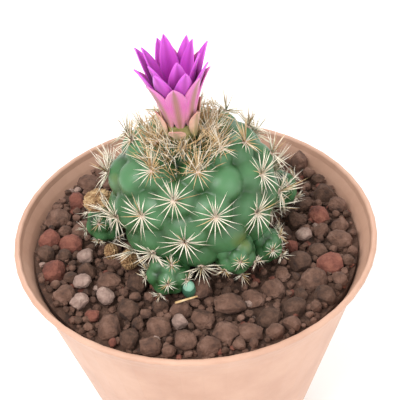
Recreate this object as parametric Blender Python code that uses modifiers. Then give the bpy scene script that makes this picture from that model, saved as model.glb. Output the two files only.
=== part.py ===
"""Potted round cactus in flower.

A round tubercled stem with young heads round its base and one funnel-shaped flower on its crown,
rooted in a mineral mix under loose lava gravel, in a flared plastic nursery pot.
Metres, +Z up. The origin is the centre of the pot's foot, and -Y is the plant's front.
"""

import math
import random

import bmesh
import bpy
from mathutils import Matrix, Vector

MM = 0.001
GAP = 0.3 * MM  # clearance kept between neighbouring pieces

# Pot: a standard round 10.5 cm nursery pot
RIM_RADIUS = 52.5 * MM
POT_HEIGHT = 75 * MM
BASE_RADIUS = 30.5 * MM
WALL = 1.4 * MM
LIP_RADIUS = 0.9 * MM  # half the thickness of the rolled rim
LIP_DROP = 2.1 * MM  # from the rim's top to the wall under the lip
NECK_DROP = 10 * MM  # from the rim's top to where the straight wall begins to flare
FLARE = 1.5 * MM  # how far the neck flares past the straight wall
FOOT_WIDTH = 2.4 * MM
FOOT_HEIGHT = 1.2 * MM
FLOOR = 1.6 * MM
DRAIN_RADIUS = 3 * MM
DRAIN_CIRCLE = 19 * MM
DRAIN_COUNT = 6

# Filling
MIX_TOP = 63 * MM
BED_TOP = 69.0 * MM
STONE_RADII = (1.8 * MM, 3.6 * MM)
STONE_TRIES = 300

# Stem: an ellipsoid through the tubercle tips, with areoles on a golden-angle spiral
STEM_CENTRE = Vector((0.3, 0.0, 90.0)) * MM
STEM_RADIUS = 24.4 * MM
STEM_HALF_HEIGHT = 22.3 * MM
TUBERCLE_DEPTH = 0.17  # groove depth as a share of the radius
DIVERGENCE = math.radians(137.63)
FIRST_TURN = math.radians(18.65)
SPIRAL_SHIFT = 1.37  # the spiral's start, in areoles from the apex
SPIRAL_LENGTH = 56.5  # areoles from the apex to the bottom
CROWDING = 1.35  # over 1 crowds the areoles towards the apex
AREOLES = 48
LEAN_FORWARD = 0.166  # the apex leans this far, in radians, towards the front
LEAN_RIGHT = 0.047
ROOT_DEPTH = 26 * MM

# Flower
FLOWER_FOOT = Vector((-1.4, -4.6, 111.0)) * MM
FLOWER_LEAN = math.radians(-3.5)
TUBE_HEIGHT = 6.0 * MM
TUBE_RADIUS = 4.3 * MM
TEPAL_THICKNESS = 0.4 * MM


# ---------------------------------------------------------------- common

for old in list(bpy.data.objects):
    bpy.data.objects.remove(old, do_unlink=True)

cactus = bpy.data.collections.new("potted_cactus")
cutters = bpy.data.collections.new("cutters")
for collection in (cactus, cutters):
    bpy.context.scene.collection.children.link(collection)


def finish(name, colour, roughness, metallic=0.0):
    """A plain surface: its colour, roughness and metallic value."""
    material = bpy.data.materials.new(name)
    material.use_nodes = True
    shader = material.node_tree.nodes["Principled BSDF"]
    shader.inputs["Base Color"].default_value = (*colour, 1.0)
    shader.inputs["Roughness"].default_value = roughness
    shader.inputs["Metallic"].default_value = metallic
    return material


terracotta_plastic = finish("terracotta_plastic", (0.55, 0.33, 0.22), 0.55)
mineral_mix = finish("mineral_mix", (0.08, 0.05, 0.04), 0.95)
lava_grit = finish("lava_grit", (0.10, 0.055, 0.045), 0.95)
brown_lava = finish("brown_lava", (0.13, 0.075, 0.06), 0.9)
rust_lava = finish("rust_lava", (0.27, 0.10, 0.06), 0.9)
pale_pumice = finish("pale_pumice", (0.42, 0.33, 0.28), 0.9)
green_skin = finish("green_skin", (0.07, 0.19, 0.08), 0.45)
young_skin = finish("young_skin", (0.16, 0.30, 0.20), 0.45)
dead_tissue = finish("dead_tissue", (0.35, 0.22, 0.11), 0.85)
dry_straw = finish("dry_straw", (0.60, 0.42, 0.22), 0.5)
scale_green = finish("scale_green", (0.42, 0.30, 0.22), 0.6)
tepal_pink = finish("tepal_pink", (0.72, 0.22, 0.50), 0.55)
tepal_magenta = finish("tepal_magenta", (0.50, 0.03, 0.42), 0.5)
pollen_yellow = finish("pollen_yellow", (0.85, 0.60, 0.12), 0.8)


def keep(mesh, name, material, sharp_angle=None):
    """Link a finished mesh as a named piece, shaded smooth if it is a round one."""
    piece = bpy.data.objects.new(name, mesh)
    mesh.materials.append(material)
    if sharp_angle is not None:
        mesh.shade_smooth()
        mesh.set_sharp_from_angle(angle=math.radians(sharp_angle))
    cactus.objects.link(piece)
    return piece


def as_mesh(bm, name):
    """Turn a bmesh into mesh data and free it."""
    mesh = bpy.data.meshes.new(name)
    bm.to_mesh(mesh)
    bm.free()
    return mesh


def turned(name, profile, steps):
    """A turned shape: the profile runs down the outer side, and its ends lie on the axis."""
    bm = bmesh.new()
    corners = [bm.verts.new((radius, 0.0, z)) for radius, z in profile]
    for upper, lower in zip(corners, corners[1:]):
        bm.edges.new((upper, lower))
    shape = bpy.data.objects.new(name, as_mesh(bm, name))
    screw = shape.modifiers.new("turn", "SCREW")
    screw.steps = steps
    screw.render_steps = steps
    screw.use_merge_vertices = True
    screw.merge_threshold = 0.00001
    screw.use_normal_calculate = False
    return shape


def as_cutter(shape):
    """Keep a shape for Boolean work only."""
    shape.hide_render = True
    shape.display_type = "WIRE"
    cutters.objects.link(shape)
    return shape


def boolean(piece, tool, operation):
    """Cut a piece by another closed shape, or join the two."""
    modifier = piece.modifiers.new(operation.lower(), "BOOLEAN")
    modifier.operation = operation
    modifier.solver = "EXACT"
    modifier.object = tool


def join_to(piece, bm, name):
    """Join a group of closed shapes to the body that they stand on."""
    boolean(piece, as_cutter(bpy.data.objects.new(name, as_mesh(bm, name))), "UNION")


# ---------------------------------------------------------------- pot


def outer_wall(z):
    """The pot's outer radius at a height: a straight taper that flares at the neck."""
    neck = POT_HEIGHT - NECK_DROP
    lip = POT_HEIGHT - LIP_DROP
    straight_top = RIM_RADIUS - LIP_RADIUS * 0.8 - FLARE
    radius = BASE_RADIUS + (straight_top - BASE_RADIUS) * z / lip
    if z > neck:
        radius += FLARE * ((z - neck) / (lip - neck)) ** 2
    return radius


def inner_wall(z):
    """The pot's inner radius at a height."""
    return outer_wall(z) - WALL


def pot_profile():
    """The pot's section, from the middle of the inner floor over the rim to the underside."""
    lip_z = POT_HEIGHT - LIP_DROP
    bead = Vector((RIM_RADIUS - LIP_RADIUS, POT_HEIGHT - LIP_RADIUS))
    inside_floor = FOOT_HEIGHT + FLOOR
    heights = [inside_floor + WALL, 20 * MM, 45 * MM, POT_HEIGHT - NECK_DROP]
    heights += [POT_HEIGHT - drop * MM for drop in (7.0, 4.6)]
    profile = [(0.0, inside_floor), (inner_wall(inside_floor) - WALL, inside_floor)]
    profile += [(inner_wall(z), z) for z in heights + [lip_z]]
    for degrees in range(150, -61, -30):
        turn = math.radians(degrees)
        profile.append((bead.x + LIP_RADIUS * math.cos(turn), bead.y + LIP_RADIUS * math.sin(turn)))
    profile += [(outer_wall(z), z) for z in reversed(heights)]
    profile += [(outer_wall(WALL), WALL), (BASE_RADIUS, 0.0), (BASE_RADIUS - FOOT_WIDTH, 0.0)]
    profile += [(BASE_RADIUS - FOOT_WIDTH - 0.4 * MM, FOOT_HEIGHT), (0.0, FOOT_HEIGHT)]
    return profile


pot_turned = turned("pot", pot_profile(), 48)
cactus.objects.link(pot_turned)
pot_turned.data.materials.append(terracotta_plastic)
pot_turned.data.shade_smooth()
pot_turned.data.set_sharp_from_angle(angle=math.radians(40))

drill = bmesh.new()
for number in range(DRAIN_COUNT):
    turn = math.tau * (number + 0.5) / DRAIN_COUNT
    place = Vector((math.cos(turn), math.sin(turn), 0.0)) * DRAIN_CIRCLE
    place.z = FOOT_HEIGHT + FLOOR / 2
    bmesh.ops.create_cone(drill, cap_ends=True, segments=16, radius1=DRAIN_RADIUS,
                          radius2=DRAIN_RADIUS, depth=FLOOR * 3, matrix=Matrix.Translation(place))
drain_holes = as_cutter(bpy.data.objects.new("drain_holes", as_mesh(drill, "drain_holes")))
boolean(pot_turned, drain_holes, "DIFFERENCE")


# ---------------------------------------------------------------- stem and its root


def lean(direction):
    """Turn a direction from the stem's own axis to the leaning plant."""
    return Matrix.Rotation(LEAN_RIGHT, 3, "Y") @ Matrix.Rotation(LEAN_FORWARD, 3, "X") @ direction


def areole(number):
    """The direction from the stem's centre to one areole, and the spacing round it in radians."""
    share = (number + SPIRAL_SHIFT) / SPIRAL_LENGTH
    height = 1.0 - 2.0 * share**CROWDING
    ring = math.sqrt(1.0 - height * height)
    turn = FIRST_TURN - number * DIVERGENCE
    patch = 4.0 * math.pi * CROWDING * share ** (CROWDING - 1.0) / SPIRAL_LENGTH
    direction = lean(Vector((ring * math.cos(turn), ring * math.sin(turn), height)))
    return direction, math.sqrt(patch * 1.155)


areoles = [areole(number) for number in range(AREOLES)]


def swell(direction, tips):
    """How far a tubercle rises at a direction: 1 on a tip, 0 in the deepest groove."""
    best = 0.0
    for tip, spacing in tips:
        cosine = max(-1.0, min(1.0, direction.dot(tip)))
        if cosine > 0.7:
            reach = math.acos(cosine) / (0.62 * spacing)
            best = max(best, 1.0 - reach * reach)
    return best


def on_stem(direction, clearance=0.0):
    """The point of the stem's surface in a direction, or one that far outside it."""
    scale = 1.0 - TUBERCLE_DEPTH * (1.0 - swell(direction, areoles))
    return STEM_CENTRE + Vector((
        direction.x * (STEM_RADIUS * scale + clearance),
        direction.y * (STEM_RADIUS * scale + clearance),
        direction.z * (STEM_HALF_HEIGHT * scale + clearance),
    ))


def stem_mesh(name, clearance):
    """The tubercled body, as a sphere with every point moved to its place."""
    bm = bmesh.new()
    bmesh.ops.create_icosphere(bm, subdivisions=4, radius=1.0)
    for vertex in bm.verts:
        vertex.co = on_stem(vertex.co.normalized(), clearance)
    return as_mesh(bm, name)


def root_profile(clearance, top):
    """The root crown and the tap root, narrowing from the stem's foot into the mix."""
    foot = STEM_CENTRE.z - STEM_HALF_HEIGHT
    section = [(8.5, 0.0), (6.4, 3.0), (4.6, 8.0), (3.0, 16.0), (1.4, 24.0)]
    profile = [(0.0, top), (8.5 * MM + clearance, top)]
    profile += [(radius * MM + clearance, foot - drop * MM) for radius, drop in section]
    profile.append((0.0, foot - ROOT_DEPTH - clearance))
    return profile


cactus_stem = keep(stem_mesh("cactus_stem", 0.0), "cactus_stem", green_skin, 60)
root = as_cutter(turned("root", root_profile(0.0, STEM_CENTRE.z - 14 * MM), 16))
boolean(cactus_stem, root, "UNION")
stem_clearance = bpy.data.objects.new("stem_clearance", stem_mesh("stem_clearance", GAP * 1.4))
as_cutter(stem_clearance)

# ---------------------------------------------------------------- mix and gravel bed


def disc(name, top, bottom, steps, material):
    """A turned filling that keeps clear of the pot's wall."""
    heights = [top] + [z * MM for z in (45, 20) if bottom < z * MM < top] + [bottom]
    profile = [(0.0, top)] + [(inner_wall(z) - GAP, z) for z in heights] + [(0.0, bottom)]
    filling = turned(name, profile, steps)
    filling.data.materials.append(material)
    cactus.objects.link(filling)
    return filling


inside_floor = FOOT_HEIGHT + FLOOR
potting_mix = disc("potting_mix", MIX_TOP, inside_floor + WALL + GAP, 48, mineral_mix)
gravel_bed = disc("gravel_bed", BED_TOP, MIX_TOP + GAP, 48, lava_grit)
root_hole = as_cutter(turned("root_hole", root_profile(GAP * 1.5, STEM_CENTRE.z - 18 * MM), 16))
boolean(potting_mix, root_hole, "DIFFERENCE")
boolean(gravel_bed, root_hole, "DIFFERENCE")

# ---------------------------------------------------------------- young heads

# name, centre in mm, radius and half height in mm, tubercles, colour
HEADS = (
    ("offset_front", (-8.0, -20.3, 76.6), (6.3, 6.2), 15, green_skin),
    ("offset_left", (-25.8, 2.0, 77.0), (5.7, 5.9), 13, green_skin),
    ("offset_right_front", (10.6, -18.0, 80.8), (6.2, 6.4), 15, green_skin),
    ("offset_right", (19.9, -12.0, 77.4), (4.7, 5.6), 12, green_skin),
    ("offset_back_right", (26.0, 12.0, 77.4), (5.2, 6.0), 12, green_skin),
)
# smooth or dried heads: name, centre, radius and half height in mm, colour
BUDS = (
    ("offset_front_bud", (-2.6, -24.4, 73.4), (2.1, 3.0), young_skin),
    ("dead_offset_left", (-24.2, -6.9, 73.6), (2.3, 3.0), dead_tissue),
    ("dead_offset_front_left", (-18.9, -11.6, 74.6), (2.8, 3.6), dead_tissue),
)
HEAD_TUBERCLE_DEPTH = 0.16


def head_tips(centre, count):
    """The tubercle tips of a young head, spiralling down from its outward-leaning crown."""
    outward = Vector((centre.x, centre.y, 0.0)).normalized() * 0.55
    crown = (outward + Vector((0.0, 0.0, 1.0))).normalized()
    upright = Vector((0.0, 0.0, 1.0)).rotation_difference(crown)
    spacing = math.sqrt(4.0 * math.pi / count * 1.155)
    tips = []
    for number in range(count):
        height = 1.0 - 2.0 * (number + 0.5) / count
        ring = math.sqrt(1.0 - height * height)
        turn = number * DIVERGENCE
        tips.append((upright @ Vector((ring * math.cos(turn), ring * math.sin(turn), height)),
                     spacing))
    return tips


def blob(name, centre, radius, half_height, rise, subdivisions):
    """A round body whose surface follows a rise function of direction."""
    bm = bmesh.new()
    bmesh.ops.create_icosphere(bm, subdivisions=subdivisions, radius=1.0)
    for vertex in bm.verts:
        direction = vertex.co.normalized()
        scale = rise(direction)
        vertex.co = centre + Vector((direction.x * radius, direction.y * radius,
                                     direction.z * half_height)) * scale
    return as_mesh(bm, name)


head_bodies = {}
for name, place, (radius, half_height), count, material in HEADS:
    centre = Vector(place) * MM
    tips = head_tips(centre, count)
    head_bodies[name] = (centre, radius * MM, half_height * MM)
    mesh = blob(name, centre, radius * MM, half_height * MM,
                lambda d: 1.0 - HEAD_TUBERCLE_DEPTH * (1.0 - swell(d, tips)), 3)
    boolean(keep(mesh, name, material, 60), stem_clearance, "DIFFERENCE")

for name, place, (radius, half_height), material in BUDS:
    centre = Vector(place) * MM
    head_bodies[name] = (centre, radius * MM, half_height * MM)
    mesh = blob(name, centre, radius * MM, half_height * MM, lambda d: 1.0, 3)
    bud = keep(mesh, name, material, 60)
    boolean(bud, stem_clearance, "DIFFERENCE")

parent_centre, parent_radius, parent_half_height = head_bodies["offset_front"]
bud_clearance = blob("bud_clearance", parent_centre, parent_radius + GAP,
                     parent_half_height + GAP, lambda d: 1.0, 3)
bud_cutter = as_cutter(bpy.data.objects.new("bud_clearance", bud_clearance))
boolean(cactus.objects["offset_front_bud"], bud_cutter, "DIFFERENCE")


# ---------------------------------------------------------------- flower

flower_frame = Matrix.Translation(FLOWER_FOOT) @ Matrix.Rotation(FLOWER_LEAN, 4, "Y")

tube_profile = [(0.0, TUBE_HEIGHT), (TUBE_RADIUS, TUBE_HEIGHT), (TUBE_RADIUS * 0.93, TUBE_HEIGHT * 0.6),
                (TUBE_RADIUS * 0.8, TUBE_HEIGHT * 0.3), (TUBE_RADIUS * 0.7, 0.0), (0.0, 0.0)]
flower_tube = turned("flower_tube", tube_profile, 20)
flower_tube.data.materials.append(scale_green)
flower_tube.matrix_world = flower_frame
cactus.objects.link(flower_tube)
boolean(flower_tube, stem_clearance, "DIFFERENCE")


def tepal(name, turn, foot, tip, width, curl, material):
    """One tepal: a grid bent round the flower's axis, narrow at its foot and pointed at its tip.

    foot and tip are (radius, height) above the flower's foot; curl bends the outline outwards.
    """
    bm = bmesh.new()
    bmesh.ops.create_grid(bm, x_segments=2, y_segments=6, size=0.5)
    for vertex in bm.verts:
        along = vertex.co.y + 0.5
        across = vertex.co.x * 2.0
        radius = foot[0] + (tip[0] - foot[0]) * along**curl
        height = foot[1] + (tip[1] - foot[1]) * along
        half_width = width / 2 * max(math.sin(math.pi * (0.06 + 0.90 * along)), 0.0) ** 0.8
        angle = turn + across * half_width / max(radius, foot[0])
        vertex.co = Vector((radius * math.cos(angle), radius * math.sin(angle), height))
    bm.transform(flower_frame)
    bmesh.ops.recalc_face_normals(bm, faces=bm.faces)
    piece = keep(as_mesh(bm, name), name, material, 50)
    skin = piece.modifiers.new("thickness", "SOLIDIFY")
    skin.thickness = TEPAL_THICKNESS
    skin.offset = 0.0
    return piece


# whorl name, count, first turn in degrees, (radius, height) of foot and tip in mm, width in mm,
# curl, colour
WHORLS = (
    ("scale", 6, 20, (4.95, 2.6), (6.4, 10.6), 4.2, 1.2, scale_green),
    ("outer_tepal", 8, 44, (3.95, 6.3), (10.3, 20.5), 4.3, 1.25, tepal_pink),
    ("inner_tepal_low", 8, 20, (3.05, 6.3), (9.4, 26.5), 3.5, 1.2, tepal_magenta),
    ("inner_tepal_high", 6, 42, (2.15, 6.3), (6.6, 28.0), 3.1, 1.2, tepal_magenta),
)
CURLED_SCALES = {4: (9.6, 9.0), 1: (8.4, 11.0)}  # scale number to its tip's (radius, height) in mm

for whorl, count, first, foot, tip, width, curl, material in WHORLS:
    for number in range(count):
        turn = math.radians(first + 360.0 * number / count)
        end = CURLED_SCALES.get(number, tip) if whorl == "scale" else tip
        uneven = 1.0 + 0.03 * math.sin(2.4 * number + first)
        tepal(f"{whorl}_{number + 1}", turn, tuple(v * MM for v in foot),
              (end[0] * MM, end[1] * uneven * MM), width * MM, curl, material)

STAMENS = 9
STAMEN_CIRCLE = 1.15 * MM
stamen_ring = turned("stamens", [(0.85 * MM, TUBE_HEIGHT + 1.0 * MM), (1.45 * MM, TUBE_HEIGHT + 1.0 * MM),
                                 (1.45 * MM, TUBE_HEIGHT + GAP), (0.85 * MM, TUBE_HEIGHT + GAP),
                                 (0.85 * MM, TUBE_HEIGHT + 1.0 * MM)], 18)
stamen_ring.data.materials.append(pollen_yellow)
stamen_ring.matrix_world = flower_frame
cactus.objects.link(stamen_ring)
filaments = bmesh.new()
for number in range(STAMENS):
    turn = math.tau * number / STAMENS
    length = (6.5 + 0.8 * math.sin(3.0 * number)) * MM
    foot = Matrix.Translation((STAMEN_CIRCLE, 0, TUBE_HEIGHT + 0.6 * MM + length / 2))
    at = flower_frame @ Matrix.Rotation(turn, 4, "Z") @ foot
    bmesh.ops.create_cone(filaments, cap_ends=True, segments=4, radius1=0.15 * MM,
                          radius2=0.26 * MM, depth=length, matrix=at)
join_to(stamen_ring, filaments, "filaments")

style_foot = TUBE_HEIGHT + GAP
style_profile = [(0.0, style_foot + 10 * MM), (0.6 * MM, style_foot + 9.6 * MM),
                 (0.45 * MM, style_foot + 8.6 * MM), (0.25 * MM, style_foot + 8 * MM),
                 (0.35 * MM, style_foot), (0.0, style_foot)]
pistil = turned("pistil", style_profile, 8)
pistil.data.materials.append(pollen_yellow)
pistil.matrix_world = flower_frame
cactus.objects.link(pistil)

# the withered flower on the left head: a crumpled pad on the head's crown
left_centre, left_radius, left_half_height = head_bodies["offset_left"]
REMAINS_HALF_HEIGHT = 2.3 * MM
remains_centre = left_centre + Vector((-0.6 * MM, -0.8 * MM, left_half_height
                                       + REMAINS_HALF_HEIGHT + 1.2 * MM))
remains = blob("dried_flower", remains_centre, 4.6 * MM, REMAINS_HALF_HEIGHT,
               lambda d: 1.0 + 0.09 * math.sin(7 * d.x + 2) * math.cos(6 * d.y), 3)
dried_flower = keep(remains, "dried_flower", dead_tissue, 60)
boolean(dried_flower, stem_clearance, "DIFFERENCE")

# ---------------------------------------------------------------- gravel

STONE_SINK = 0.35  # share of a stone's height that is bedded in the layer
# loose stones that stand out: name, centre (x, y), radius and height in mm, colour
SET_STONES = (
    ("pale_stone_1", (-25.6, -23.2), 3.7, 5.0, pale_pumice),
    ("pale_stone_2", (-32.9, -24.8), 3.3, 4.6, pale_pumice),
    ("pale_stone_3", (-32.6, -16.6), 3.0, 4.6, pale_pumice),
    ("pale_stone_4", (-31.6, -6.6), 3.1, 4.4, pale_pumice),
    ("pale_stone_5", (-5.4, -35.0), 2.7, 4.6, pale_pumice),
    ("pale_stone_6", (31.4, -3.0), 2.9, 4.8, pale_pumice),
    ("lava_stone_1", (8.2, -30.0), 4.9, 6.0, brown_lava),
    ("lava_stone_2", (-4.4, -42.0), 4.0, 5.4, brown_lava),
    ("lava_stone_3", (33.6, 31.0), 4.0, 6.6, rust_lava),
)
draw = random.Random(7)
laid = []


def stone(x, y, radius, height, bottom):
    """One rough stone with its lowest point at a given height."""
    bm = bmesh.new()
    bmesh.ops.create_icosphere(bm, subdivisions=1, radius=1.0)
    turn = Matrix.Rotation(draw.uniform(0, math.tau), 4, "Z")
    bm.transform(turn @ Matrix.Rotation(draw.uniform(0.0, 1.2), 4, "X"))
    for vertex in bm.verts:
        rough = draw.uniform(0.84, 1.0)
        vertex.co = Vector((vertex.co.x * radius, vertex.co.y * radius,
                            vertex.co.z * height / 2)) * rough
    lowest = min(vertex.co.z for vertex in bm.verts)
    bm.transform(Matrix.Translation((x, y, bottom - lowest)))
    laid.append((x, y, radius))
    return as_mesh(bm, "stone")


def has_room(x, y, radius):
    """Whether a stone fits between the wall, the plant and the stones already laid."""
    out = math.hypot(x, y)
    if out + radius > inner_wall(BED_TOP) - 2 * GAP or out - radius < 18.6 * MM:
        return False
    for centre, reach, _ in head_bodies.values():
        if math.hypot(x - centre.x, y - centre.y) < radius + reach + GAP:
            return False
    return all(math.hypot(x - other_x, y - other_y) > radius + other + GAP
               for other_x, other_y, other in laid)


for name, (x, y), radius, height, material in SET_STONES:
    mesh = stone(x * MM, y * MM, radius * MM, height * MM, BED_TOP + GAP)
    keep(mesh, name, material)

bedded = bmesh.new()
for attempt in range(STONE_TRIES):
    smallest, largest = STONE_RADII
    shrink = min(1.0, attempt / STONE_TRIES + draw.uniform(0.0, 0.35))
    radius = largest - (largest - smallest) * shrink
    out = inner_wall(BED_TOP) * math.sqrt(draw.uniform(0.12, 1.0))
    turn = draw.uniform(0, math.tau)
    x = out * math.cos(turn)
    y = out * math.sin(turn)
    if has_room(x, y, radius):
        height = radius * draw.uniform(1.4, 1.8)
        mesh = stone(x, y, radius, height, BED_TOP - height * STONE_SINK)
        bedded.from_mesh(mesh)
        bpy.data.meshes.remove(mesh)
join_to(gravel_bed, bedded, "bedded_stones")

# ---------------------------------------------------------------- straw

STRAW_RADIUS = 0.35 * MM
STRAW_TURN = math.radians(18)
straw = bmesh.new()
straw_place = Matrix.Translation((-3.4 * MM, -28.6 * MM, BED_TOP + 5.2 * MM))
straw_place = straw_place @ Matrix.Rotation(STRAW_TURN, 4, "Z")
straw_place = straw_place @ Matrix.Rotation(math.radians(90), 4, "Y")
bmesh.ops.create_cone(straw, cap_ends=True, segments=6, radius1=STRAW_RADIUS,
                      radius2=STRAW_RADIUS * 0.7, depth=6.5 * MM, matrix=straw_place)
keep(as_mesh(straw, "straw"), "straw", dry_straw)
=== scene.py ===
import math
import random

import bmesh
import bpy
from mathutils import Matrix, Vector, noise


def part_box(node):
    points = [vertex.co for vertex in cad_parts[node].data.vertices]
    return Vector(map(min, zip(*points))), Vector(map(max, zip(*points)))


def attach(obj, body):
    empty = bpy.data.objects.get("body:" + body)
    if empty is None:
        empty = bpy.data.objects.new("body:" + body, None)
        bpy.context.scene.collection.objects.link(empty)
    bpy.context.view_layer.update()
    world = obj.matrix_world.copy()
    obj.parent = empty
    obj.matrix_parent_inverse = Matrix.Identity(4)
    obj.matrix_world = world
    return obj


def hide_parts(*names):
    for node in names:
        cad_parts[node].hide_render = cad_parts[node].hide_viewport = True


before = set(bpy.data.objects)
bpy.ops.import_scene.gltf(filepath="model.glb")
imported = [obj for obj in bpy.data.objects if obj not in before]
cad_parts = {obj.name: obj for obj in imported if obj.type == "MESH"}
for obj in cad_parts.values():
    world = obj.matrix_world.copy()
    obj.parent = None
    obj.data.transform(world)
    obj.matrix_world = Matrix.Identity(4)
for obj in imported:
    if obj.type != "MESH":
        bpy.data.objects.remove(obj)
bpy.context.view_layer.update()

MM = 0.001

# ---- Pot
# A round nursery pot, injection moulded in terracotta-coloured polypropylene: a tapered wall that
# flares at the neck, a rolled rim and a foot ring. The moulded solid is used as it is.


def linear(colour):
    """An sRGB hex colour as linear RGBA."""
    values = [int(colour[i:i + 2], 16) / 255 for i in (1, 3, 5)]
    return (*[v / 12.92 if v <= 0.04045 else ((v + 0.055) / 1.055) ** 2.4 for v in values], 1.0)


def new_material(name, roughness, **sockets):
    """A material with its Principled shader, whose plain values are set on the shader."""
    material = bpy.data.materials.new(name)
    material.use_nodes = True
    shader = material.node_tree.nodes["Principled BSDF"]
    shader.inputs["Roughness"].default_value = roughness
    for socket, value in sockets.items():
        shader.inputs[socket.replace("_", " ")].default_value = value
    return material, shader


def add_node(material, kind, links=(), **settings):
    """Add a node: settings are its attributes or inputs, links are (input, other node, output)."""
    node = material.node_tree.nodes.new(kind)
    for key, value in settings.items():
        if hasattr(node, key):
            setattr(node, key, value)
        else:
            node.inputs[key.replace("_", " ")].default_value = value
    for target, source, output in links:
        material.node_tree.links.new(source.outputs[output], node.inputs[target])
    return node


def ramp_colours(node, *stops):
    """Set a ramp's stops from (position, hex colour) pairs."""
    elements = node.color_ramp.elements
    while len(elements) < len(stops):
        elements.new(0.5)
    for element, (position, colour) in zip(elements, stops):
        element.position = position
        element.color = linear(colour)


def mottled(name, roughness, stops, grain, bump, bump_distance, detail=6.0, **sockets):
    """A surface whose colour wanders between stops, with fine relief; grain is in millimetres."""
    material, shader = new_material(name, roughness, **sockets)
    place = add_node(material, "ShaderNodeTexCoord")
    cloud = add_node(material, "ShaderNodeTexNoise", [("Vector", place, "Object")],
                     Scale=1000.0 / grain, Detail=detail, Roughness=0.62)
    ramp = add_node(material, "ShaderNodeValToRGB", [("Fac", cloud, "Fac")])
    ramp_colours(ramp, *stops)
    fine = add_node(material, "ShaderNodeTexNoise", [("Vector", place, "Object")],
                    Scale=4000.0 / grain, Detail=4.0)
    relief = add_node(material, "ShaderNodeBump", [("Height", fine, "Fac")],
                      Strength=bump, Distance=bump_distance)
    links = material.node_tree.links
    links.new(ramp.outputs["Color"], shader.inputs["Base Color"])
    links.new(relief.outputs["Normal"], shader.inputs["Normal"])
    return material


# moulded polypropylene: an even terracotta colour, slightly cloudy, with a soft satin sheen
moulded_polypropylene = mottled("moulded_polypropylene", 0.48,
                                ((0.3, "#b38a74"), (0.5, "#be9680"), (0.7, "#c7a18b")),
                                22.0, 0.06, 0.0002, IOR=1.49)


def dress(node, material):
    """Give its finish to a CAD node that is shown as it is."""
    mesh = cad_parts[node].data
    mesh.materials.clear()
    mesh.materials.append(material)


dress("pot", moulded_polypropylene)

# ---- Mix and gravel
# The pot is filled with a mineral mix and topped with loose lava gravel: broken scoria of 3 to 8 mm
# with a few pale pumice stones, poured in and settled round the plant.

# crushed volcanic scoria: reddish brown, pitted and quite matt
STONE_FINISHES = (
    mottled("brown_scoria", 0.93, ((0.25, "#35241e"), (0.5, "#644739"), (0.8, "#87685a")),
            3.0, 0.8, 0.0006),
    mottled("dark_scoria", 0.94, ((0.25, "#281b17"), (0.5, "#4e3629"), (0.8, "#705345")),
            2.6, 0.8, 0.0006),
    mottled("rust_scoria", 0.93, ((0.25, "#47261e"), (0.5, "#744336"), (0.8, "#8f5c4a")),
            3.0, 0.8, 0.0006),
    mottled("pale_pumice", 0.92, ((0.2, "#6b574e"), (0.5, "#93796e"), (0.8, "#b39c8f")),
            2.4, 0.8, 0.0006),
)
SCORIA_SHARE = (0.56, 0.34, 0.08, 0.02)  # how often each of the finishes comes up
BROWN, DARK, PALE = 0, 1, 3  # places in STONE_FINISHES
dress("potting_mix", STONE_FINISHES[DARK])


def finish_mesh(bm, name, materials, smooth=True):
    """Make a piece from a mesh whose points are in world coordinates, and show it."""
    mesh = bpy.data.meshes.new(name)
    bm.to_mesh(mesh)
    bm.free()
    for material in materials:
        mesh.materials.append(material)
    if smooth:
        mesh.shade_smooth()
    piece = bpy.data.objects.new(name, mesh)
    bpy.context.scene.collection.objects.link(piece)
    return piece


def hand_over(piece, slot, *nodes):
    """Fix a piece to the plant's body and hide the plain solids it stands for."""
    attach(piece, "root")
    if nodes:
        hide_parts(*nodes)


def pick_finish(draw):
    """A loose stone's finish, as its place in STONE_FINISHES."""
    return draw.choices(range(len(STONE_FINISHES)), SCORIA_SHARE)[0]


CHIPS = 6  # flat knocks on each stone
CHIP_PLANE = 0.72  # how far out a knock cuts, in radii
CHIP_DEPTH = 0.85  # how much of the bulge past it is lost


def rough_stone(bm, centre, radius, flatness, draw, material_index, cuts=2):
    """One broken stone: a small ball squashed, knocked flat on some sides and pitted."""
    made = bmesh.ops.create_icosphere(bm, subdivisions=cuts, radius=1.0)["verts"]
    seed = Vector((draw.uniform(0, 99), draw.uniform(0, 99), draw.uniform(0, 99)))
    chips = [Vector((draw.gauss(0, 1), draw.gauss(0, 1), draw.gauss(0, 1))).normalized()
             for _ in range(CHIPS)]
    turn = Matrix.Rotation(draw.uniform(0, math.tau), 3, "Z") @ Matrix.Rotation(
        draw.uniform(-0.5, 0.5), 3, "X")
    stretch = draw.uniform(0.78, 1.0)
    for vertex in made:
        point = vertex.co.copy()
        for chip in chips:
            over = point.dot(chip) - CHIP_PLANE
            if over > 0:
                point -= chip * over * CHIP_DEPTH
        point *= 1.0 + 0.10 * noise.noise(point * 2.3 + seed) + 0.05 * noise.noise(point * 6 + seed)
        point = Vector((point.x, point.y * stretch, point.z * flatness))
        vertex.co = centre + turn @ point * radius
    for face in {face for vertex in made for face in vertex.link_faces}:
        face.material_index = material_index
        face.smooth = cuts > 2  # coarse stones look more broken without it


GRAVEL_TOP = 71.6 * MM  # the level that the loose stones lie at
WALL_REACH = 47.4 * MM  # they reach this far from the pot's axis
PLANT_REACH = 14.5 * MM  # and keep this far from it, clear of the root
STONE_TRIES = 9000
LARGEST_STONE = 4.1  # radius in mm
SIZE_SPAN = 3.0  # the smallest stones' radius is this much less
GRIT_GRAINS = 1500
draw = random.Random(11)
stones = bmesh.new()

HEADS = (  # name; centre, radius and half height in mm; number of tubercles
    ("offset_front", (-8.0, -20.3, 76.6), 6.3, 6.2, 15),
    ("offset_left", (-25.8, 2.0, 77.0), 5.7, 5.9, 13),
    ("offset_right_front", (10.6, -18.0, 80.8), 6.2, 6.4, 15),
    ("offset_right", (19.9, -12.0, 77.4), 4.7, 5.6, 12),
    ("offset_back_right", (26.0, 12.0, 77.4), 5.2, 6.0, 12),
)
placed = []
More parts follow.
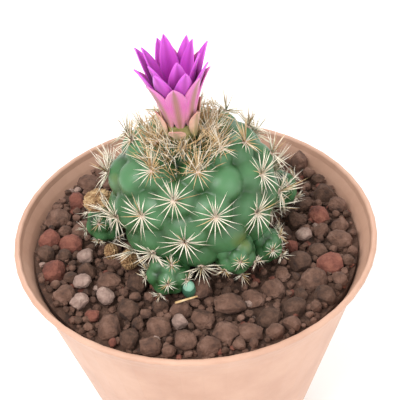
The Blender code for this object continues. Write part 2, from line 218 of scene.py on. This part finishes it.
# the larger stones that the frame has as solids of their own
for node in [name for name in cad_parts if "_stone_" in name]:
    low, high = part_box(node)
    centre = (Vector(low) + Vector(high)) / 2
    radius = (high[0] - low[0] + high[1] - low[1]) / 4
    kind = PALE if node.startswith("pale") else BROWN
    body = bmesh.new()
    flatness = (high[2] - low[2]) / 2 / radius
    centre.z = GRAVEL_TOP + radius * flatness * 0.35
    rough_stone(body, centre, radius * 1.05, flatness, draw, 0, 4)
    stone = finish_mesh(body, node + "_broken", [STONE_FINISHES[kind]])
    hand_over(stone, "pale_pumice" if kind == PALE else "lava_stone", node)
    placed.append((centre.x, centre.y, radius))

# the loose stones, larger ones first, clear of the heads and of those already placed
for attempt in range(STONE_TRIES):
    share = attempt / STONE_TRIES
    radius = (LARGEST_STONE - SIZE_SPAN * min(1.0, share * 1.15 + draw.uniform(0, 0.12))) * MM
    out = WALL_REACH * math.sqrt(draw.uniform(0.07, 1.0))
    turn = draw.uniform(0, math.tau)
    x, y = out * math.cos(turn), out * math.sin(turn)
    if out + radius > WALL_REACH or out < PLANT_REACH + radius:
        continue
    if any(math.hypot(x - c[0] * MM, y - c[1] * MM) < radius + r * MM * 0.75
           for _, c, r, _, _ in HEADS):
        continue
    if any(math.hypot(x - px, y - py) < (radius + pr) * 0.90 for px, py, pr in placed):
        continue
    placed.append((x, y, radius))
    kind = pick_finish(draw)
    z = GRAVEL_TOP - radius * 0.35 + draw.uniform(-0.5, 0.7) * MM
    rough_stone(stones, Vector((x, y, z)), radius * 1.06, draw.uniform(0.68, 0.95), draw, kind)

# the finer grit between and under the stones
for _ in range(GRIT_GRAINS):
    out = WALL_REACH * math.sqrt(draw.uniform(0.06, 0.97))
    turn = draw.uniform(0, math.tau)
    radius = draw.uniform(0.7, 1.5) * MM
    z = GRAVEL_TOP - draw.uniform(0.9, 2.6) * MM
    place = Vector((out * math.cos(turn), out * math.sin(turn), z))
    rough_stone(stones, place, radius, 0.8, draw, pick_finish(draw), 1)
# the layer that the stones lie on
floor_disc = bmesh.ops.create_cone(stones, cap_ends=True, segments=64, radius1=WALL_REACH * 0.995,
                                   radius2=WALL_REACH * 0.995, depth=5 * MM,
                                   matrix=Matrix.Translation((0, 0, GRAVEL_TOP - 4.9 * MM)))
for face in {face for vertex in floor_disc["verts"] for face in vertex.link_faces}:
    face.material_index = DARK
gravel = finish_mesh(stones, "lava_gravel", STONE_FINISHES, smooth=False)
hand_over(gravel, "lava_stone", "gravel_bed")

# ---- Stem
# The round stem, grown as one piece: large rounded tubercles on a golden-angle spiral, each with a
# waxy green skin, with a painted highlight paler and bluish on the swell and painted shade dark in
# the grooves.
STEM_CENTRE = Vector((0.3, 0.0, 90.0)) * MM
STEM_RADIUS = 24.4 * MM
STEM_HALF_HEIGHT = 22.3 * MM
DIVERGENCE = math.radians(137.63)  # the turn from one tubercle to the next
FIRST_TURN = math.radians(18.65)
SPIRAL_SHIFT = 1.37  # how far the first is from the apex, counted in tubercles
SPIRAL_LENGTH = 56.5  # tubercles from the apex to the foot
CROWDING = 1.35  # over 1, they are smaller towards the apex
AREOLE_COUNT = 50
PACKING = 1.155  # square of the spacing over one patch's area, in a hexagonal net
# the apex leans to the front and slightly to the right
LEAN = Matrix.Rotation(0.047, 3, "Y") @ Matrix.Rotation(0.166, 3, "X")


def areole(number):
    """The direction of an areole from the stem's centre, and the spacing round it."""
    share = (number + SPIRAL_SHIFT) / SPIRAL_LENGTH
    height = 1.0 - 2.0 * share**CROWDING
    ring = math.sqrt(1.0 - height * height)
    turn = FIRST_TURN - number * DIVERGENCE
    patch = 4.0 * math.pi * CROWDING * share ** (CROWDING - 1.0) / SPIRAL_LENGTH
    return LEAN @ Vector((ring * math.cos(turn), ring * math.sin(turn), height)), math.sqrt(
        patch * PACKING)


areoles = [areole(number) for number in range(AREOLE_COUNT)]


NEAR = 0.6  # the least cosine at which a tip can still matter
FLARE = 0.66  # a tubercle's reach over the spacing of the tips
BLEND = 4  # a higher power gives sharper grooves


def swell(direction, tips):
    """How far a tubercle rises at a direction, with soft grooves between neighbours."""
    total = 0.0
    for tip, spacing in tips:
        cosine = max(-1.0, min(1.0, direction.dot(tip)))
        if cosine > NEAR:
            reach = math.acos(cosine) / (FLARE * spacing)
            if reach < 1.0:
                total += (1.0 - reach * reach) ** BLEND
    return total ** (1 / BLEND)


def tubercled(name, centre, radius, half_height, tips, depth, cuts, materials):
    """A tubercled body, with its swell kept as an attribute for the painted shade and highlight on
    its skin.
    """
    bm = bmesh.new()
    bmesh.ops.create_icosphere(bm, subdivisions=cuts, radius=1.0)
    rises = []
    for vertex in bm.verts:
        direction = vertex.co.normalized()
        rise = min(1.0, swell(direction, tips))
        rises.append(rise)
        wander = 0.012 * noise.noise(direction * 5.0)
        scale = 1.0 - depth * (1.0 - rise) + wander
        vertex.co = centre + Vector((direction.x * radius, direction.y * radius,
                                     direction.z * half_height)) * scale
    piece = finish_mesh(bm, name, materials)
    swells = piece.data.attributes.new("swell", "FLOAT", "POINT")
    swells.data.foreach_set("value", rises)
    return piece


def living_skin(name, dark, green, painted_highlight, brown):
    """Waxy epidermis: painted shade dark in the grooves, green on the flanks, a painted bluish
    highlight on the swell.
    """
    material, shader = new_material(name, 0.42, IOR=1.42, Subsurface_Weight=0.03,
                                    Subsurface_Scale=0.002, Coat_Weight=0.2, Coat_Roughness=0.35)
    place = add_node(material, "ShaderNodeTexCoord")
    height = add_node(material, "ShaderNodeAttribute", attribute_name="swell")
    cloud = add_node(material, "ShaderNodeTexNoise", [("Vector", place, "Object")],
                     Scale=1000.0 / 9.0, Detail=5.0)
    wander = add_node(material, "ShaderNodeMath", [(0, cloud, "Fac")], operation="MULTIPLY")
    wander.inputs[1].default_value = 0.75
    total = add_node(material, "ShaderNodeMath", operation="MULTIPLY_ADD")
    links = material.node_tree.links
    links.new(height.outputs["Fac"], total.inputs[0])
    total.inputs[1].default_value = 0.55
    links.new(wander.outputs[0], total.inputs[2])
    # the swell sets the colour: painted shade in the grooves, green flanks, a painted highlight on
    # each tubercle's top
    ramp = add_node(material, "ShaderNodeValToRGB", [("Fac", total, 0)])
    ramp_colours(ramp, (0.28, dark), (0.55, green), (0.92, painted_highlight))
    patches = add_node(material, "ShaderNodeTexNoise", [("Vector", place, "Object")],
                       Scale=1000.0 / 16.0, Detail=3.0)
    patch = add_node(material, "ShaderNodeMapRange", [("Value", patches, "Fac")])
    patch.inputs["From Min"].default_value = 0.62
    patch.inputs["From Max"].default_value = 0.78
    blend = add_node(material, "ShaderNodeMix", data_type="RGBA")
    links.new(patch.outputs["Result"], blend.inputs["Factor"])
    links.new(ramp.outputs["Color"], blend.inputs[6])
    blend.inputs[7].default_value = linear(brown)
    links.new(blend.outputs[2], shader.inputs["Base Color"])
    grain = add_node(material, "ShaderNodeTexNoise", [("Vector", place, "Object")],
                     Scale=1000.0 / 0.9, Detail=3.0)
    relief = add_node(material, "ShaderNodeBump", [("Height", grain, "Fac")],
                      Strength=0.18, Distance=0.0003)
    links.new(relief.outputs["Normal"], shader.inputs["Normal"])
    return material


# colours: painted groove shade, flank green, painted highlight on the swell, corky brown patches
cactus_skin = living_skin("cactus_epidermis", "#0c1c0b", "#244a22", "#47744a", "#5f6a30")
young_skin = living_skin("young_epidermis", "#2f5540", "#4f8268", "#7fac95", "#7d8a60")

stem = tubercled("stem_body", STEM_CENTRE, STEM_RADIUS, STEM_HALF_HEIGHT, areoles, 0.145,
                 7, [cactus_skin])
hand_over(stem, "cactus_skin", "cactus_stem")

# ---- Young heads
# Small heads that bud from the foot of the stem: the same tubercles at a third of the size, one
# smooth blue-green bud, and two heads that have dried to brown crumpled knobs.
head_tips = {}
for name, place, radius, half_height, count in HEADS:
    centre = Vector(place) * MM
    crown = Vector((centre.x, centre.y, 0)).normalized() * 0.55 + Vector((0, 0, 1))
    upright = Vector((0, 0, 1)).rotation_difference(crown)
    tips = []
    for number in range(count):
        height = 1.0 - 2.0 * (number + 0.5) / count
        ring = math.sqrt(1.0 - height * height)
        turn = number * DIVERGENCE
        tips.append((upright @ Vector((ring * math.cos(turn), ring * math.sin(turn), height)),
                     math.sqrt(4 * math.pi / count * PACKING)))
    head_tips[name] = tips
    head = tubercled(name + "_body", centre, radius * MM, half_height * MM, tips, 0.2, 5,
                     [cactus_skin])
    hand_over(head, "cactus_skin", name)

bud = tubercled("front_bud_body", Vector((-2.6, -24.4, 73.8)) * MM, 2.1 * MM, 3.0 * MM,
                [(Vector((0, -0.3, 1)).normalized(), 4.0)], 0.1, 5, [young_skin])
hand_over(bud, "cactus_skin", "offset_front_bud")

# dried tissue: fibrous, straw to dark brown, without any sheen
dried_tissue = mottled("dried_tissue", 0.9, ((0.3, "#6b4a2c"), (0.5, "#a5815a"), (0.7, "#d6ba8e")),
                       2.0, 0.9, 0.0008)


def crumple(name, node, amount):
    """A withered knob in the place of a plain solid: a ball crumpled by noise."""
    low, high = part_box(node)
    centre = (Vector(low) + Vector(high)) / 2
    half = (Vector(high) - Vector(low)) / 2
    bm = bmesh.new()
    bmesh.ops.create_icosphere(bm, subdivisions=6, radius=1.0)
    for vertex in bm.verts:
        point = vertex.co.normalized()
        ridge = abs(noise.noise(point * 3.1 + centre * 900)) + 0.5 * abs(
            noise.noise(point * 8.0 + centre * 700))
        scale = 1.0 - amount * ridge
        vertex.co = centre + Vector((point.x * half.x, point.y * half.y, point.z * half.z)) * scale
    hand_over(finish_mesh(bm, name, [dried_tissue]), "dried_tissue", node)


crumple("dried_head_left", "dead_offset_left", 0.5)
crumple("dried_head_front", "dead_offset_front_left", 0.5)
crumple("withered_flower", "dried_flower", 0.45)

# ---- Spines
# Each tubercle's tip carries a felted areole with a star of fine straw-white spines; the upper ones
# are longer and stand together, and round the crown they are tan and dense.

# spine: dry horn-like tissue, straw white with a slight gloss
straw_spine = mottled("straw_spine", 0.45, ((0.3, "#e3d3b8"), (0.6, "#efe6d4"), (0.8, "#f6f0e4")),
                      5.0, 0.0, 0.0001)
tan_spine = mottled("tan_spine", 0.5, ((0.3, "#8f6a40"), (0.5, "#c9a777"), (0.75, "#e8d6b2")),
                    4.0, 0.0, 0.0001)
areole_felt = mottled("areole_felt", 0.95, ((0.3, "#b58f80"), (0.6, "#dcc3b2")), 1.0, 0.9, 0.0003)
white_wool = mottled("white_wool", 0.95, ((0.3, "#d9d6cc"), (0.6, "#f3f1ea")), 1.0, 0.9, 0.0003)


def frame_at(outward, upward):
    """Axes with Z outward and Y up the plant."""
    side = upward.cross(outward).normalized()
    return Matrix((side, outward.cross(side), outward)).transposed()


def add_spine(bm, foot, tip, thickness, sag, material_index):
    """One spine: a three-sided needle in two lengths that bends slightly and ends in a point."""
    along = (tip - foot).normalized()
    side = along.orthogonal().normalized()
    other = along.cross(side)
    middle = (foot + tip) / 2 + sag
    rings = []
    for centre, radius in ((foot, thickness), (middle, thickness * 0.72)):
        rings.append([bm.verts.new(centre + (side * math.cos(a) + other * math.sin(a)) * radius)
                      for a in (0, math.tau / 3, 2 * math.tau / 3)])
    point = bm.verts.new(tip)
    faces = [bm.faces.new(rings[0][::-1])]
    for corner in range(3):
        after = (corner + 1) % 3
        faces.append(bm.faces.new((rings[0][corner], rings[0][after], rings[1][after],
                                   rings[1][corner])))
        faces.append(bm.faces.new((rings[1][corner], rings[1][after], point)))
    for face in faces:
        face.material_index = material_index
        face.smooth = True


def add_star(bm, seat, axes, reach, radials, uppers, upper_reach, thickness, draw, tan_share):
    """One areole's star: a spread ring of radial spines and a bundle of longer upper ones."""
    foot = seat + axes @ Vector((0, 0, 0.2 * MM))
    for number in range(radials):
        turn = math.tau * (number + draw.uniform(-0.28, 0.28)) / radials
        lift = draw.uniform(0.08, 0.42)
        length = reach * draw.uniform(0.8, 1.1)
        heading = Vector((math.cos(turn), math.sin(turn), lift)).normalized()
        start = foot + axes @ (heading * 0.4 * MM)
        sag = axes @ Vector((0, 0, draw.uniform(-0.02, 0.07) * length))
        kind = 1 if draw.random() < tan_share else 0
        add_spine(bm, start, foot + axes @ (heading * length), thickness, sag, kind)
    for number in range(uppers):
        heading = Vector((draw.uniform(-0.42, 0.42), draw.uniform(0.35, 1.1), draw.uniform(
            0.45, 1.0))).normalized()
        length = upper_reach * draw.uniform(0.75, 1.1)
        start = foot + axes @ (heading * 0.3 * MM)
        kind = 1 if draw.random() < tan_share + 0.12 else 0
        add_spine(bm, start, foot + axes @ (heading * length), thickness, Vector((0, 0, 0)), kind)


def add_felt(bm, seat, axes, radius, material_index):
    """One areole's felt pad: a small flattened knob."""
    made = bmesh.ops.create_icosphere(bm, subdivisions=2, radius=radius)["verts"]
    for vertex in made:
        rough = 1.0 + 0.2 * noise.noise(vertex.co * 3000 + seat * 1000)
        vertex.co = seat + axes @ Vector((vertex.co.x, vertex.co.y, vertex.co.z * 0.6)) * rough
    for face in {face for vertex in made for face in vertex.link_faces}:
        face.material_index = material_index
        face.smooth = True


APEX = LEAN @ Vector((0, 0, 1))
BARE = (11, 17)  # tubercles without spines
WOOLLY = (5, 10)  # tubercles with white wool
CROWN_COUNT = 10  # tubercles that count as the crown
# reach of the radial spines in mm, number of upper ones, their reach in mm, share of tan ones
CROWN_STAR = (6.0, 10, 9.5, 0.45)
BODY_STAR = (7.6, 6, 10.0, 0.05)
RADIALS = 17
TUFT_SPINES = 480
FLOWER_FOOT = Vector((-1.4, -4.6, 111.0)) * MM
draw = random.Random(5)
spines = bmesh.new()
felts = bmesh.new()
for number, (direction, _) in enumerate(areoles):
    seat = STEM_CENTRE + Vector((direction.x * STEM_RADIUS, direction.y * STEM_RADIUS,
                                 direction.z * STEM_HALF_HEIGHT))
    hidden = any((seat - Vector(c) * MM).length < (r + 1.5) * MM for _, c, r, _, _ in HEADS)
    if number in BARE or seat.z < 75 * MM or hidden:
        continue
    normal = Vector((seat.x - STEM_CENTRE.x, seat.y - STEM_CENTRE.y,
                     (seat.z - STEM_CENTRE.z) * 1.2)).normalized()
    axes = frame_at(normal, APEX if number > 2 else Vector((0, 1, 0)))
    reach, uppers, upper_reach, tan_share = CROWN_STAR if number < CROWN_COUNT else BODY_STAR
    add_star(spines, seat, axes, reach * MM, RADIALS, uppers, upper_reach * MM, 0.19 * MM, draw,
             tan_share)
    add_felt(felts, seat, axes, 0.85 * MM, 1 if number in WOOLLY else 0)
for name, place, radius, half_height, count in HEADS:
    centre = Vector(place) * MM
    for direction, _ in head_tips[name]:
        seat = centre + Vector((direction.x * radius, direction.y * radius,
                                direction.z * half_height)) * MM
        inward = seat - STEM_CENTRE
        if Vector((inward.x / STEM_RADIUS, inward.y / STEM_RADIUS,
                   inward.z / STEM_HALF_HEIGHT)).length < 1.04 or seat.z < 73 * MM:
            continue
        axes = frame_at(direction, Vector((0, 0, 1)))
        add_star(spines, seat, axes, 3.2 * MM, 13, 4, 4.0 * MM, 0.13 * MM, draw, 0.15)
        add_felt(felts, seat, axes, 0.5 * MM, 0)
# the dense tan tuft round the foot of the flower
for _ in range(TUFT_SPINES):
    turn = draw.uniform(0, math.tau)
    ring = draw.uniform(3.4, 11.5) * MM
    outward = Vector((math.cos(turn), math.sin(turn), 0))
    foot = FLOWER_FOOT + outward * ring
    from_axis = ((foot - STEM_CENTRE).to_2d().length / STEM_RADIUS) ** 2
    foot.z = STEM_CENTRE.z + STEM_HALF_HEIGHT * math.sqrt(1.0 - from_axis) - 1.2 * MM
    heading = (outward * draw.uniform(0.0, 1.3) + Vector((0, 0, 1))
               + Vector((draw.uniform(-0.5, 0.5), draw.uniform(-0.5, 0.5), 0))).normalized()
    add_spine(spines, foot, foot + heading * draw.uniform(5.0, 10.0) * MM, 0.15 * MM,
              Vector((0, 0, 0)), 1 if draw.random() < 0.6 else 0)
hand_over(finish_mesh(spines, "spines", [straw_spine, tan_spine]), "spines")
hand_over(finish_mesh(felts, "areole_felt_pads", [areole_felt, white_wool]), "spines")

# ---- Flower
# A funnel of pointed tepals on a short fleshy tube: small green-brown scales, pink outer tepals
# with a dull green middle stripe, and magenta inner tepals that pale towards their tips.


def tepal_finish(name, foot_colour, middle_colour, tip_colour, stripe_colour, stripe):
    """Thin living tissue with fine lengthwise veins; the UV map runs across and along it."""
    material, shader = new_material(name, 0.5, Subsurface_Weight=0.12, Subsurface_Scale=0.0015,
                                    Sheen_Weight=0.15)
    links = material.node_tree.links
    uv = add_node(material, "ShaderNodeUVMap", uv_map="across_along")
    split = add_node(material, "ShaderNodeSeparateXYZ", [("Vector", uv, "UV")])
    ramp = add_node(material, "ShaderNodeValToRGB", [("Fac", split, "Y")])
    ramp_colours(ramp, (0.05, foot_colour), (0.5, middle_colour), (0.95, tip_colour))
    centred = add_node(material, "ShaderNodeMath", [(0, split, "X")], operation="SUBTRACT")
    centred.inputs[1].default_value = 0.5
    distance = add_node(material, "ShaderNodeMath", [(0, centred, 0)], operation="ABSOLUTE")
    edge = add_node(material, "ShaderNodeMapRange", [("Value", distance, 0)])
    edge.inputs["From Min"].default_value = 0.05
    edge.inputs["From Max"].default_value = 0.24
    edge.inputs["To Min"].default_value = stripe
    edge.inputs["To Max"].default_value = 0.0
    striped = add_node(material, "ShaderNodeMix", data_type="RGBA")
    links.new(edge.outputs["Result"], striped.inputs["Factor"])
    links.new(ramp.outputs["Color"], striped.inputs[6])
    striped.inputs[7].default_value = linear(stripe_colour)
    links.new(striped.outputs[2], shader.inputs["Base Color"])
    veins = add_node(material, "ShaderNodeTexWave", [("Vector", uv, "UV")], Scale=4.0,
                     Distortion=1.2)
    relief = add_node(material, "ShaderNodeBump", [("Height", veins, "Fac")], Strength=0.25,
                      Distance=0.0002)
    links.new(relief.outputs["Normal"], shader.inputs["Normal"])
    return material


scale_tissue = tepal_finish("scale_tissue", "#8d8a55", "#cfa68f", "#b98678", "#8a7a50", 0.7)
pink_tepal = tepal_finish("pink_tepal_tissue", "#c98a92", "#c95fa3", "#d77fba", "#98705a", 0.85)
magenta_tepal = tepal_finish("magenta_tepal_tissue", "#8d0f84", "#a81b9f", "#cf5bd2", "#8a0d82",
                             0.5)

WIDEST = 0.55  # where along its length a tepal is widest
CUP = 0.35 * MM  # how far its margins bend inwards
TIP_ROLL = 0.4 * MM  # how far its tip rolls outwards
FLOWER_TURN = Matrix.Translation(FLOWER_FOOT) @ Matrix.Rotation(math.radians(-3.5), 4, "Y")


def petal(name, turn, foot, tip, width, curl, material):
    """One tepal: a fine grid bent round the funnel, cupped across, rolled out at its tip.

    foot and tip are (radius, height) over the flower's foot; curl bends the outline outwards.
    """
    bm = bmesh.new()
    bmesh.ops.create_grid(bm, x_segments=8, y_segments=18, size=0.5)
    uv_layer = bm.loops.layers.uv.new("across_along")
    for face in bm.faces:
        for loop in face.loops:
            loop[uv_layer].uv = (loop.vert.co.x + 0.5, loop.vert.co.y + 0.5)
    for vertex in bm.verts:
        along = vertex.co.y + 0.5
        across = vertex.co.x * 2.0
        if along < WIDEST:
            outline = math.sin(math.pi * (0.10 + 0.42 * (along / WIDEST)))
        else:
            outline = math.cos((along - WIDEST) / (1.0 - WIDEST) * math.pi / 2) ** 0.75
        half_width = width / 2 * max(outline, 0.02)
        radius = foot[0] + (tip[0] - foot[0]) * along**curl
        radius += TIP_ROLL * max(0.0, along - 0.75) ** 2 * 16 - CUP * across * across
        height = foot[1] + (tip[1] - foot[1]) * along
        angle = turn + across * half_width / max(radius, foot[0] * 1.15)
        vertex.co = Vector((radius * math.cos(angle), radius * math.sin(angle), height))
    bm.transform(FLOWER_TURN)
    piece = finish_mesh(bm, name, [material])
    bpy.context.view_layer.objects.active = piece
    skin = piece.modifiers.new("thickness", "SOLIDIFY")
    skin.thickness = 0.28 * MM
    skin.offset = 0.0
    bpy.ops.object.select_all(action="DESELECT")
    piece.select_set(True)
    bpy.ops.object.modifier_apply(modifier=skin.name)
    return piece


# name, count, first turn in degrees, foot and tip (radius, height) and width in mm, curl, finish
# and slot
WHORLS = (
    ("scale", 6, 20, (4.7, 2.4), (6.2, 10.6), 4.6, 1.2, scale_tissue, "outer_scale"),
    ("outer_tepal", 8, 44, (4.0, 5.4), (9.2, 22.0), 6.0, 1.5, pink_tepal, "pink_tepal"),
    ("inner_tepal_low", 8, 20, (3.1, 6.0), (9.8, 26.0), 5.6, 1.25, magenta_tepal, "magenta_tepal"),
    ("inner_tepal_high", 6, 42, (2.2, 6.0), (7.4, 27.5), 5.6, 1.1, magenta_tepal, "magenta_tepal"),
)
CURLED_SCALES = {4: (9.2, 9.0), 1: (8.2, 11.0)}  # scale to its tip's (radius, height) in mm
for whorl, count, first, foot, tip, width, curl, material, slot_name in WHORLS:
    for number in range(count):
        turn = math.radians(first + 360.0 * number / count)
        end = CURLED_SCALES.get(number, tip) if whorl == "scale" else tip
        uneven = 1.0 + 0.03 * math.sin(2.4 * number + first)
        piece = petal(f"{whorl}_{number + 1}_leaf", turn, tuple(v * MM for v in foot),
                      (end[0] * MM, end[1] * uneven * MM), width * MM, curl, material)
        hand_over(piece, slot_name, f"{whorl}_{number + 1}")

green_tube = mottled("green_tube", 0.5, ((0.3, "#6f7a3c"), (0.7, "#a8996a")), 4.0, 0.2, 0.0003)
dress("flower_tube", green_tube)
pollen = mottled("pollen", 0.85, ((0.3, "#d9a93a"), (0.7, "#f0d070")), 1.0, 0.5, 0.0002)
for node in ("stamens", "pistil"):
    dress(node, pollen)
dress("straw", tan_spine)

# ---- Floor, light and camera
# A plain white floor, broad soft light from three sides, and the view from in front and above.
bpy.ops.object.select_all(action="DESELECT")
bpy.ops.mesh.primitive_plane_add(size=6.0, location=(0, 0, 0))
floor = bpy.context.object
floor.name = "floor"
white_floor, floor_shader = new_material("white_floor", 0.9)
floor_shader.inputs["Base Color"].default_value = linear("#fbfaf9")
floor.data.materials.append(white_floor)


def soft_light(name, place, size, power):
    """A square softbox aimed at the plant."""
    lamp = bpy.data.lights.new(name, "AREA")
    lamp.size = size
    lamp.energy = power
    box = bpy.data.objects.new(name, lamp)
    box.location = place
    box.rotation_euler = (Vector((0, 0, 0.09)) - Vector(place)).to_track_quat("-Z", "Y").to_euler()
    bpy.context.scene.collection.objects.link(box)


soft_light("key", (-0.35, -0.35, 0.75), 0.5, 6.5)
soft_light("fill", (0.6, -0.5, 0.45), 0.7, 3.2)
soft_light("back", (0.1, 0.7, 0.6), 0.7, 3.2)
world = bpy.data.worlds.new("studio")
world.use_nodes = True
world.node_tree.nodes["Background"].inputs["Color"].default_value = linear("#ffffff")
world.node_tree.nodes["Background"].inputs["Strength"].default_value = 0.82
bpy.context.scene.world = world
bpy.context.scene.view_settings.view_transform = "Standard"

ELEVATION = 0.6954
ROLL = -0.0641
DISTANCE = 0.320
AIM = Vector((2.02, 0.0, 85.11)) * MM
FOCAL_LENGTH = 101.25
camera_data = bpy.data.cameras.new("camera")
camera_data.sensor_width = 36.0
camera_data.lens = FOCAL_LENGTH
camera_data.clip_start = 0.01
camera = bpy.data.objects.new("camera", camera_data)
# the camera's axes: back points from the plant to the camera
back = Vector((0.0, -math.cos(ELEVATION), math.sin(ELEVATION)))
level = Vector((1.0, 0.0, 0.0))
upward = back.cross(level)
right = level * math.cos(ROLL) + upward * math.sin(ROLL)
up = back.cross(right)
camera.matrix_world = Matrix.Translation(AIM + back * DISTANCE) @ Matrix(
    (right, up, back)).transposed().to_4x4()
bpy.context.scene.collection.objects.link(camera)
bpy.context.scene.camera = camera
